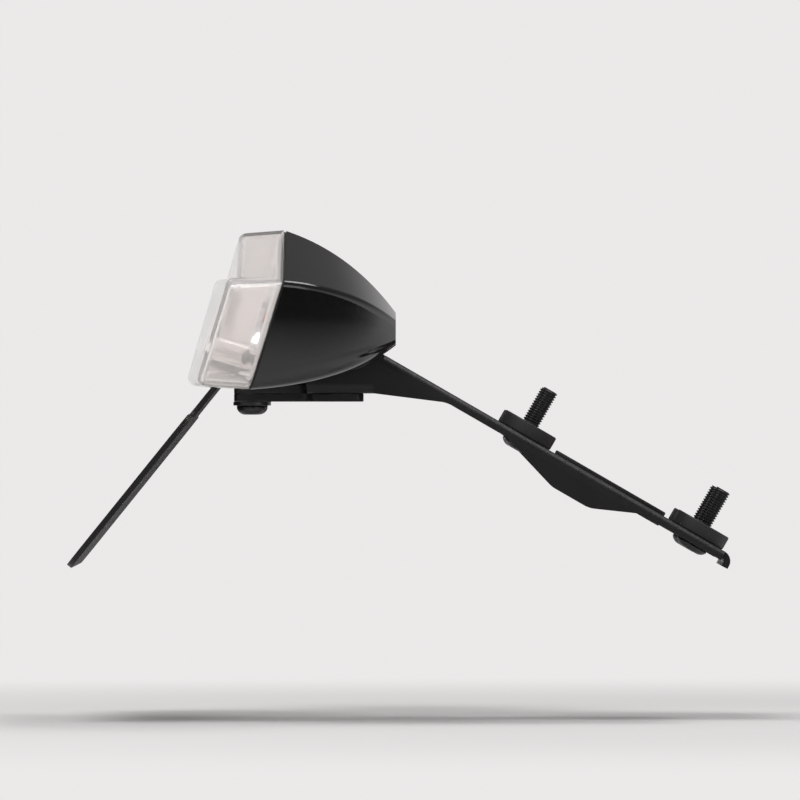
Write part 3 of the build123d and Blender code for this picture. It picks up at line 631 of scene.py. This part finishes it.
print(f"edges that turn by more than {math.degrees(HARD_ANGLE):.0f} degrees are eased")

# %% [markdown]
# A working copy becomes a piece that stands in for its node. It is shaded smooth, with normals
# weighted by area, so its large faces stay as flat as the original's between the rounded edges.

# %% A piece that stands in for a node
LARGE_FACE_WEIGHT = 100


def linked(name, data):
    """A new object at the origin, linked to the scene."""
    thing = bpy.data.objects.new(name, data)
    bpy.context.scene.collection.objects.link(thing)
    return thing


def plain_mesh(piece):
    """The mesh that a piece's modifiers make, as plain data."""
    seen = piece.evaluated_get(bpy.context.evaluated_depsgraph_get())
    mesh = bpy.data.meshes.new_from_object(seen)
    mesh.name = piece.name
    return mesh


def stand_in(form, node, ending):
    """A piece from a working copy that takes its node's finish and place."""
    mesh = bpy.data.meshes.new(f"{node}_{ending}")
    bmesh.ops.triangulate(form, faces=form.faces)
    form.to_mesh(mesh)
    form.free()
    mesh.materials.append(FINISH[slot_of[node]])
    mesh.shade_smooth()
    piece = linked(mesh.name, mesh)
    flat_normals = piece.modifiers.new("flat_normals", "WEIGHTED_NORMAL")
    flat_normals.weight = LARGE_FACE_WEIGHT
    shaped = plain_mesh(piece)
    piece.modifiers.clear()
    piece.data = shaped
    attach(piece, BODY)
    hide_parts(node)
    print(piece.name, len(piece.data.polygons), "triangles")


print("a stand-in takes its finish from", len(FINISH), "slots")

# %% Stand-ins with eased edges
EASED_BY = {
    "main_bracket": 0.45,
    "plate_hanger": 0.4,
    "hanger_arm": 0.4,
    "mount_spacers": 0.5,
    "lamp_housing": 0.35,
    "cable_grommet": 0.4,
    "hanger_pad": 0.3,
    "right_stalk": 0.35,
    "left_stalk": 0.35,
    "arm_nuts": 0.15,
    "hanger_nuts": 0.15,
    "stem_nuts": 0.15,
    "mount_washers": 0.15,
    "arm_washers": 0.15,
    "hanger_washers": 0.15,
    "stem_washers": 0.15,
}
for name, width in EASED_BY.items():
    form = node_form(name)
    ease(form, width * MM)
    stand_in(form, name, "eased")

# %% [markdown]
# ## Seamless bulbs
# A glass bulb has no seams, but the node's mesh is loose triangles, and each open edge would show as a
# line in the glass. Smoothing alone can't cross such an edge, so each bulb gets a stand-in whose
# triangles are joined up.

# %% Joined-up bulbs
for name in ("right_bulb", "left_bulb"):
    stand_in(node_form(name), name, "joined")

# %% [markdown]
# ## Screw threads
# The bolts' shanks are plain cylinders in the construction model. A thread could be swept along a
# helix, but it also follows a simple rule: the surface swings between crest and root once in every
# pitch, and the pattern winds round once over that same length. Geometry Nodes suit such a rule.
# First comes the rule itself, as the radius at a turn and a height. The winding's fraction runs from
# 0 to 1 over a pitch, a triangle wave turns that into two flanks, and its ends are cut off as a flat
# crest and a flat root. Near the tip a cone takes over as the chamfer.

# %% The rule of a thread
FLANK_GAIN = 1.4
CREST_CUT = 0.2


def thread_radius(tree, given, turn, height):
    """How far a thread's surface lies from its axis at this turn and height."""
    winding = maths(tree, "SUBTRACT", maths(tree, "DIVIDE", height, given.outputs["Pitch"]), turn)
    phase = maths(tree, "FRACT", winding)
    swing = maths(tree, "SUBTRACT", maths(tree, "MULTIPLY", phase, 2.0), 1.0)
    flanks = maths(tree, "MULTIPLY", maths(tree, "ABSOLUTE", swing), FLANK_GAIN)
    valley = held(tree, maths(tree, "SUBTRACT", flanks, CREST_CUT))
    cut = maths(tree, "MULTIPLY", valley, given.outputs["Depth"])
    profile = maths(tree, "SUBTRACT", given.outputs["Radius"], cut)
    root = maths(tree, "SUBTRACT", given.outputs["Radius"], given.outputs["Depth"])
    chamfer = maths(tree, "ADD", root, maths(tree, "SUBTRACT", given.outputs["Length"], height))
    return maths(tree, "MINIMUM", profile, chamfer)


print(f"flat crest over {CREST_CUT / FLANK_GAIN:.0%} of the pitch")

# %% [markdown]
# Next a flat grid is rolled up: its width becomes the turn and its length the height. The first and
# the last row shrink to the axis to close the ends, so they share their neighbours' height. Where the
# grid's sides meet, and at both ends, its points are merged.

# %% Roll a grid into a shank
THREAD_SIDES = 32
ROWS_PER_PITCH = 10


def rolled_shank(tree, given):
    """A closed shank that stands on its point and follows the rule of a thread."""
    grid = add(tree, "GeometryNodeMeshGrid")
    feed(tree, grid.inputs["Size X"], 1.0)
    feed(tree, grid.inputs["Size Y"], 1.0)
    feed(tree, grid.inputs["Vertices X"], THREAD_SIDES + 1)
    feed(tree, grid.inputs["Vertices Y"], given.outputs["Rows"])
    spot = parts_of(tree, add(tree, "GeometryNodeInputPosition").outputs[0])
    turn = maths(tree, "ADD", spot["X"], 0.5)
    last = maths(tree, "SUBTRACT", given.outputs["Rows"], 1.0)
    row = maths(tree, "MULTIPLY", maths(tree, "ADD", spot["Y"], 0.5), last)
    climbed = maths(tree, "SUBTRACT", row, 1.0)
    share = held(tree, maths(tree, "DIVIDE", climbed, maths(tree, "SUBTRACT", last, 2.0)))
    height = maths(tree, "MULTIPLY", share, given.outputs["Length"])
    past_first = maths(tree, "GREATER_THAN", row, 0.5)
    before_last = maths(tree, "LESS_THAN", row, maths(tree, "SUBTRACT", last, 0.5))
    between = maths(tree, "MULTIPLY", past_first, before_last)
    radius = maths(tree, "MULTIPLY", thread_radius(tree, given, turn, height), between)
    angle = maths(tree, "MULTIPLY", turn, math.tau)
    x = maths(tree, "MULTIPLY", radius, maths(tree, "COSINE", angle))
    y = maths(tree, "MULTIPLY", radius, maths(tree, "SINE", angle))
    shank = add(tree, "GeometryNodeSetPosition")
    feed(tree, shank.inputs["Geometry"], grid.outputs["Mesh"])
    feed(tree, shank.inputs["Position"], vector_of(tree, x, y, height))
    closed = add(tree, "GeometryNodeMergeByDistance")
    feed(tree, closed.inputs["Geometry"], shank.outputs["Geometry"])
    feed(tree, closed.inputs["Distance"], JOIN)
    return closed.outputs["Geometry"]


print(THREAD_SIDES, "sides and", ROWS_PER_PITCH, "rows to a pitch")

# %% [markdown]
# Last, the shape is set upright on every point that the tree is given, stretched and moved where that
# is asked. Instances are dropped when the model is exported, so the tree makes them real and gives
# the faces their finish. The flutes further down end their tree in the same way.


# %% Set a shape on points
def set_on_points(tree, given, made, shape, axis, stretch=None, move=None):
    """Sets a shape along an axis on every point, as plain faces with their finish."""
    upright = add(tree, "FunctionNodeAlignRotationToVector", axis="Z")
    feed(tree, upright.inputs["Vector"], axis)
    placed = add(tree, "GeometryNodeInstanceOnPoints")
    feed(tree, placed.inputs["Points"], given.outputs["Geometry"])
    feed(tree, placed.inputs["Instance"], shape)
    feed(tree, placed.inputs["Rotation"], upright.outputs["Rotation"])
    feed(tree, placed.inputs["Scale"], stretch)
    moved = add(tree, "GeometryNodeTranslateInstances")
    feed(tree, moved.inputs["Instances"], placed.outputs["Instances"])
    feed(tree, moved.inputs["Translation"], move)
    feed(tree, moved.inputs["Local Space"], False)
    real = add(tree, "GeometryNodeRealizeInstances")
    feed(tree, real.inputs["Geometry"], moved.outputs["Instances"])
    painted = add(tree, "GeometryNodeSetMaterial")
    feed(tree, painted.inputs["Geometry"], real.outputs["Geometry"])
    feed(tree, painted.inputs["Material"], given.outputs["Material"])
    feed(tree, made.inputs["Geometry"], painted.outputs["Geometry"])


print("placing helper: set_on_points")


# %% The tree of a thread
def thread_tree():
    """A threaded shank on each point of a mesh, with its sizes as inputs."""
    inputs = {
        "Geometry": "Geometry",
        "Radius": "Float",
        "Pitch": "Float",
        "Depth": "Float",
        "Length": "Float",
        "Rows": "Int",
        "Axis": "Vector",
        "Material": "Material",
    }
    tree, given, made = node_group("screw_thread", "Geometry", inputs, {"Geometry": "Geometry"})
    set_on_points(tree, given, made, rolled_shank(tree, given), given.outputs["Axis"])
    return tree


screw_thread = thread_tree()
print("made", screw_thread.name, "with", len(screw_thread.nodes), "nodes")

# %% [markdown]
# A tree works through a modifier on a mesh of loose points. Its inputs are set by the sockets'
# identifiers before the first look at the result, and the result is kept as a plain mesh.


# %% A piece grown on points
def grown(name, tree, points, values):
    """A piece that a Geometry Nodes tree grows on these points, kept as a plain mesh."""
    seeds = bpy.data.meshes.new(f"{name}_points")
    seeds.from_pydata(points, [], [])
    piece = linked(name, seeds)
    rule = piece.modifiers.new("rule", "NODES")
    rule.node_group = tree
    for item in tree.interface.items_tree:
        if item.in_out == "INPUT" and item.name in values:
            rule[item.identifier] = values[item.name]
    piece.data = plain_mesh(piece)
    piece.modifiers.clear()
    piece.data.shade_smooth()
    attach(piece, BODY)
    print(name, len(piece.data.polygons), "faces")
    return piece


print("grown pieces ride on", BODY)

# %% [markdown]
# ## Threaded bolts
# Four bolts hold the bracket, two hold the arm and two hold the hanger, all with six-millimetre
# threads. Their heads are right as they are, so only the shanks are made again: each node gets a copy
# that is cut off and closed where its shank begins, and a threaded shank is set on it there.

# %% Swap plain shanks for threaded ones
BOLT_RADIUS = 3 * MM
BOLT_PITCH = 1 * MM
THREAD_DEPTH = 0.55 * MM
CUT_MARGIN = 10 * JOIN
END_ROWS = 3


def threaded_bolts(name, points, axis, length):
    """Bolts whose plain shanks past these points are replaced by threaded ones."""
    form = node_form(name)
    past_cut = [
        face
        for face in form.faces
        if (face.calc_center_median() - points[0]).dot(axis) > CUT_MARGIN
    ]
    bmesh.ops.delete(form, geom=past_cut, context="FACES")
    bmesh.ops.holes_fill(form, edges=[edge for edge in form.edges if edge.is_boundary])
    stand_in(form, name, "heads")
    values = {
        "Radius": BOLT_RADIUS,
        "Pitch": BOLT_PITCH,
        "Depth": THREAD_DEPTH,
        "Length": length,
        "Rows": round(length / BOLT_PITCH * ROWS_PER_PITCH) + END_ROWS,
        "Axis": axis,
        "Material": FINISH[slot_of[name]],
    }
    shanks = grown(f"{name}_shanks", screw_thread, points, values)
    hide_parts(name)


print(f"threads of {BOLT_PITCH / MM:.0f} mm pitch on {2 * BOLT_RADIUS / MM:.0f} mm bolts")

# %% Studs on the mounting slope
STUD_LENGTH = 14 * MM
stud_points = [
    slope_along * (along * stud_reach) + Vector((0, side * stud_reach, 0))
    for along in (-1, 1)
    for side in (-1, 1)
]
threaded_bolts("mount_bolts", stud_points, slope_normal, STUD_LENGTH)

# %% [markdown]
# The arm's and the hanger's bolts stand upright in pairs. Each pair runs through a pair of washers,
# so the washers' outer box tells where the bolts are.

# %% Upright bolts of the arm and the hanger
UP = Vector((0, 0, 1))


def bolt_points(washers, level):
    """Where a pair of upright bolts starts its shanks, from the box of the washers on them."""
    low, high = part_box(washers)
    reach = high.y - (high.x - low.x) / 2
    return [Vector(((low.x + high.x) / 2, side * reach, level)) for side in (-1, 1)]


arm_points = bolt_points("arm_washers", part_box("hanger_arm")[1].z)
hanger_points = bolt_points("hanger_washers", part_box("hanger_washers")[0].z)
threaded_bolts("arm_bolts", arm_points, UP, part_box("arm_bolts")[1].z - arm_points[0].z)
threaded_bolts("hanger_bolts", hanger_points, UP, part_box("hanger_bolts")[1].z - hanger_points[0].z)

# %% [markdown]
# ## Flutes in the lenses
# Inside its rear wall an indicator lens has a row of upright flutes that spread the bulb's light.
# They repeat at one pitch, and each runs from the lens's floor to its ledge, wherever those are. Their
# lengths could be worked out one by one. Instead the tree sends a ray up and a ray down from a point
# between them, and stretches a glass rod between the two hits.

# %% The tree of the flutes
FLUTE_SIDES = 12
RAY_LENGTH = 100 * MM


def wall_distance(tree, given, lens, way):
    """How far a rod may run along the lens's upward direction, or against it, to keep its margin."""
    ray = add(tree, "GeometryNodeRaycast")
    feed(tree, ray.inputs["Target Geometry"], lens.outputs["Geometry"])
    feed(tree, ray.inputs["Ray Direction"], scaled(tree, given.outputs["Up"], way))
    feed(tree, ray.inputs["Ray Length"], RAY_LENGTH)
    return maths(tree, "SUBTRACT", ray.outputs["Hit Distance"], given.outputs["Margin"])


def flute_tree():
    """A glass rod at each point, between what lies above and below it inside a lens."""
    inputs = {
        "Geometry": "Geometry",
        "Lens": "Object",
        "Up": "Vector",
        "Radius": "Float",
        "Margin": "Float",
        "Material": "Material",
    }
    tree, given, made = node_group("lens_flutes", "Geometry", inputs, {"Geometry": "Geometry"})
    lens = add(tree, "GeometryNodeObjectInfo", transform_space="RELATIVE")
    feed(tree, lens.inputs["Object"], given.outputs["Lens"])
    above = wall_distance(tree, given, lens, 1.0)
    below = wall_distance(tree, given, lens, -1.0)
    rod = add(tree, "GeometryNodeMeshCylinder")
    feed(tree, rod.inputs["Vertices"], FLUTE_SIDES)
    feed(tree, rod.inputs["Radius"], given.outputs["Radius"])
    feed(tree, rod.inputs["Depth"], 1.0)
    stretch = vector_of(tree, 1.0, 1.0, maths(tree, "ADD", above, below))
    half_way = maths(tree, "MULTIPLY", maths(tree, "SUBTRACT", above, below), 0.5)
    move = scaled(tree, given.outputs["Up"], half_way)
    set_on_points(tree, given, made, rod.outputs["Mesh"], given.outputs["Up"], stretch, move)
    return tree


lens_flutes = flute_tree()
print("made", lens_flutes.name, "with", len(lens_flutes.nodes), "nodes")

# %% [markdown]
# The lens leans forward at its top and toes out a little. Its rear wall's inside is found from the
# same joint plane that the construction model uses, and the left lens is the right one's mirror image.

# %% Where the rear wall is
LENS_LEAN = math.radians(16)
LENS_TOE = math.radians(5)
LENS_JOINT = Vector((-130.3, -60, 50)) * MM
SEAL_THICKNESS = 0.8 * MM
LENS_DEPTH = 17.5 * MM

flat = math.cos(LENS_LEAN)
outboard = Vector((math.sin(LENS_TOE), -math.cos(LENS_TOE), 0))
rearward = Vector((-flat * math.cos(LENS_TOE), -flat * math.sin(LENS_TOE), math.sin(LENS_LEAN)))
upward = rearward.cross(outboard)
rear_wall = LENS_JOINT + rearward * SEAL_THICKNESS - Vector((LENS_DEPTH, 0, 0))
print("inside of the right lens's rear wall:", [round(x, 4) for x in rear_wall])

# %% Flutes for both lenses
FLUTE_RADIUS = 0.65 * MM
FLUTE_PITCH = 2.0 * MM
FLUTES = 23
FLUTE_START = 5.5 * MM
FLUTE_GAP = 0.05 * MM
FLUTE_MARGIN = 1.6 * MM

flute_row = rear_wall - rearward * (FLUTE_RADIUS + FLUTE_GAP)
steps = [FLUTE_START + FLUTE_PITCH * number for number in range(FLUTES)]
for side, flip in (("right", 1), ("left", -1)):
    mirror = Vector((1, flip, 1))
    points = [(flute_row + outboard * step) * mirror for step in steps]
    values = {
        "Lens": nodes[f"{side}_indicator_lens"],
        "Up": upward * mirror,
        "Radius": FLUTE_RADIUS,
        "Margin": FLUTE_MARGIN,
        "Material": clear_lens,
    }
    grown(f"{side}_lens_flutes", lens_flutes, points, values)

# %% [markdown]
# ## A pale surround
# The studio is one pale tone without a horizon. Walls could be built for it, but a world colour does
# the same in every view. Its strength depends on the ray that asks: full for the camera and through
# glass, dimmer as light, so that a colour renders about as it is written, and falling off overhead in
# reflections, because a studio's ceiling is dark.

# %% The world
SURROUND = (0.83, 0.82, 0.815, 1)
LIGHT_LEVEL = 0.4
CEILING_LEVEL = 0.2
CEILING_RISE = (0.0, 0.4)


def studio_world():
    """A pale surround for the eye, dark overhead in reflections and dimmer as light."""
    world = bpy.data.worlds.new("pale_surround")
    world.use_nodes = True
    tree = world.node_tree
    surround = tree.nodes["Background"]
    feed(tree, surround.inputs["Color"], SURROUND)
    heading = parts_of(tree, add(tree, "ShaderNodeTexCoord").outputs["Generated"])
    ceiling = remapped(tree, heading["Z"], CEILING_RISE, (1.0, CEILING_LEVEL), "SMOOTHSTEP")
    rays = add(tree, "ShaderNodeLightPath").outputs
    mirrored = maths(tree, "MULTIPLY", rays["Is Glossy Ray"], ceiling)
    seen = maths(tree, "MAXIMUM", rays["Is Camera Ray"], rays["Is Transmission Ray"])
    seen = maths(tree, "MAXIMUM", seen, mirrored)
    unseen = maths(tree, "MULTIPLY", rays["Is Diffuse Ray"], LIGHT_LEVEL)
    feed(tree, surround.inputs["Strength"], maths(tree, "MAXIMUM", seen, unseen))
    bpy.context.scene.world = world
    print("world:", world.name)


studio_world()

# %% [markdown]
# ## The floor
# A floor in the surround's colour takes the object's soft shadow. A plain one would show where it
# ends, so away from the object it turns into the surround's own tone. From below it is transparent,
# because the object is looked at from there too.

# %% What the floor is painted with
MATT = 0.9
FLOOR_DRIFT_SIZE = 0.4
FLOOR_DRIFT = 0.02
FLOOR_FADE = (0.2, 0.75)


def floor_finish():
    """Pale paint near the object that turns into the surround's own tone further away."""
    material, tree, shader = new_material("pale_floor")
    tone = effect(tree, tone_drift, Color=SURROUND, Size=FLOOR_DRIFT_SIZE, Amount=FLOOR_DRIFT)
    feed(tree, shader.inputs["Base Color"], tone)
    feed(tree, shader.inputs["Roughness"], MATT)
    far_tone = add(tree, "ShaderNodeEmission")
    feed(tree, far_tone.inputs["Color"], SURROUND)
    distance = add(tree, "ShaderNodeVectorMath", operation="LENGTH")
    feed(tree, distance.inputs[0], add(tree, "ShaderNodeTexCoord").outputs["Object"])
    fade = remapped(tree, distance.outputs["Value"], FLOOR_FADE, curve="SMOOTHSTEP")
    above = mixed_shader(tree, fade, shader.outputs["BSDF"], far_tone.outputs[0])
    from_below = add(tree, "ShaderNodeNewGeometry").outputs["Backfacing"]
    nothing = add(tree, "ShaderNodeBsdfTransparent").outputs[0]
    surface = mixed_shader(tree, from_below, above, nothing)
    feed(tree, tree.nodes["Material Output"].inputs["Surface"], surface)
    return material


pale_floor = floor_finish()
print("made", pale_floor.name)

# %% Lay the floor
FLOOR_DROP = 55 * MM
FLOOR_RADIUS = 12.0
FLOOR_SIDES = 96
centre = (cad_low + cad_high) / 2
floor_level = cad_low.z - FLOOR_DROP


def studio_floor():
    """A round floor below the object's lowest point."""
    mesh = bpy.data.meshes.new("floor")
    form = bmesh.new()
    bmesh.ops.create_circle(form, cap_ends=True, segments=FLOOR_SIDES, radius=FLOOR_RADIUS)
    bmesh.ops.translate(form, verts=form.verts, vec=(centre.x, centre.y, floor_level))
    form.to_mesh(mesh)
    form.free()
    mesh.materials.append(pale_floor)
    floor = linked("floor", mesh)


studio_floor()
print(f"floor at {floor_level:.3f} m")

# %% [markdown]
# ## Dark cards
# Gloss black shows nothing but what it mirrors. From the side, each housing mirrors the floor ahead
# of the object, and an all-pale floor would make it look flat. Darker and lighter bands could be
# painted on the housing, but they wouldn't move with the view. So, as in a real studio, a dark card
# with a soft edge lies there for each housing. It shows in reflections alone. The left card stops
# short, so that the tip of the right housing keeps its pale floor.

# %% What the cards are made of
CARD_COLOUR = (0.02, 0.02, 0.02, 1)
COVER_LAYER = "cover"


def card_finish():
    """Matt black that fades out towards the card's near edge."""
    material, tree, shader = new_material("dark_card")
    feed(tree, shader.inputs["Base Color"], CARD_COLOUR)
    feed(tree, shader.inputs["Roughness"], MATT)
    cover = add(tree, "ShaderNodeAttribute", attribute_name=COVER_LAYER).outputs["Fac"]
    nothing = add(tree, "ShaderNodeBsdfTransparent").outputs[0]
    surface = mixed_shader(tree, cover, nothing, shader.outputs["BSDF"])
    feed(tree, tree.nodes["Material Output"].inputs["Surface"], surface)
    return material


matt_card = card_finish()
print("made", matt_card.name)

# %% Lay the cards
CARD_HEADING = (0.56, 0.83)
CARD_ROWS = (0.154, 0.283, 1.6)
CARD_SPREAD = 1.0
LEFT_CARD_END = 0.2
CARD_LIFT = 1 * MM
CARD_FACES = [(0, 2, 3, 1), (2, 4, 5, 3)]
CARD_COVER = [0.0, 0.0, 1.0, 1.0, 1.0, 1.0]


def dark_card(name, side, end, lift):
    """A dark card on the floor ahead of one housing, there for reflections alone."""
    forward, sideways = CARD_HEADING
    corners = [
        (forward * reach + sideways * run, side * (sideways * reach - forward * run), floor_level + lift)
        for reach in CARD_ROWS
        for run in (-CARD_SPREAD, end)
    ]
    mesh = bpy.data.meshes.new(name)
    mesh.from_pydata(corners, [], CARD_FACES)
    cover = mesh.attributes.new(COVER_LAYER, "FLOAT", "POINT")
    cover.data.foreach_set("value", CARD_COVER)
    mesh.materials.append(matt_card)
    card = linked(name, mesh)
    card.visible_camera = False
    card.visible_diffuse = False
    card.visible_transmission = False
    card.visible_shadow = False
    print("laid", name)


dark_card("right_card", side=-1, end=CARD_SPREAD, lift=2 * CARD_LIFT)
dark_card("left_card", side=1, end=LEFT_CARD_END, lift=CARD_LIFT)

# %% [markdown]
# ## Lamps
# Two large lamps and a weak fill light the object at a plain level. Small lamps or a sun would draw
# hard shadows and hot spots on the gloss, and large ones leave broad soft highlights instead.


# %% Hang the lamps
def soft_lamp(name, place, size, watts):
    """A rectangular area lamp that looks at the object's centre."""
    data = bpy.data.lights.new(name, "AREA")
    data.shape = "RECTANGLE"
    data.size, data.size_y = size
    data.energy = watts
    lamp = linked(name, data)
    lamp.location = centre + Vector(place)
    lamp.rotation_euler = (centre - lamp.location).to_track_quat("-Z", "Y").to_euler()
    print("lamp", name, watts, "W")


soft_lamp("key", place=(-0.45, -0.75, 1.3), size=(0.9, 0.7), watts=12.0)
soft_lamp("back", place=(0.6, 0.5, 1.3), size=(0.9, 0.5), watts=6.0)
soft_lamp("fill", place=(0.9, -0.9, 0.1), size=(0.7, 0.9), watts=2.5)

# %% [markdown]
# ## Camera
# The view is square-on from the right-hand side, level with the part and through a long lens, so
# that the hanger's panel shows as one thin line. An orthographic camera would do that too, but a lens
# leaves a trace of depth. The part takes four fifths of the frame's width.

# %% Set up the camera
FOCAL = 600.0
SENSOR = 36.0
SHARE = 0.82
LEVEL_TURN = math.radians(90)
view_width = (cad_high.x - cad_low.x) / SHARE
camera_data = bpy.data.cameras.new("side_view")
camera_data.lens = FOCAL
camera_data.sensor_width = SENSOR
camera = linked("side_view", camera_data)
camera.location = (centre.x, -view_width * FOCAL / SENSOR, centre.z)
camera.rotation_euler = (LEVEL_TURN, 0, 0)
bpy.context.scene.camera = camera
bpy.context.scene.view_settings.view_transform = "Standard"
print(f"camera {-camera.location.y:.2f} m away")
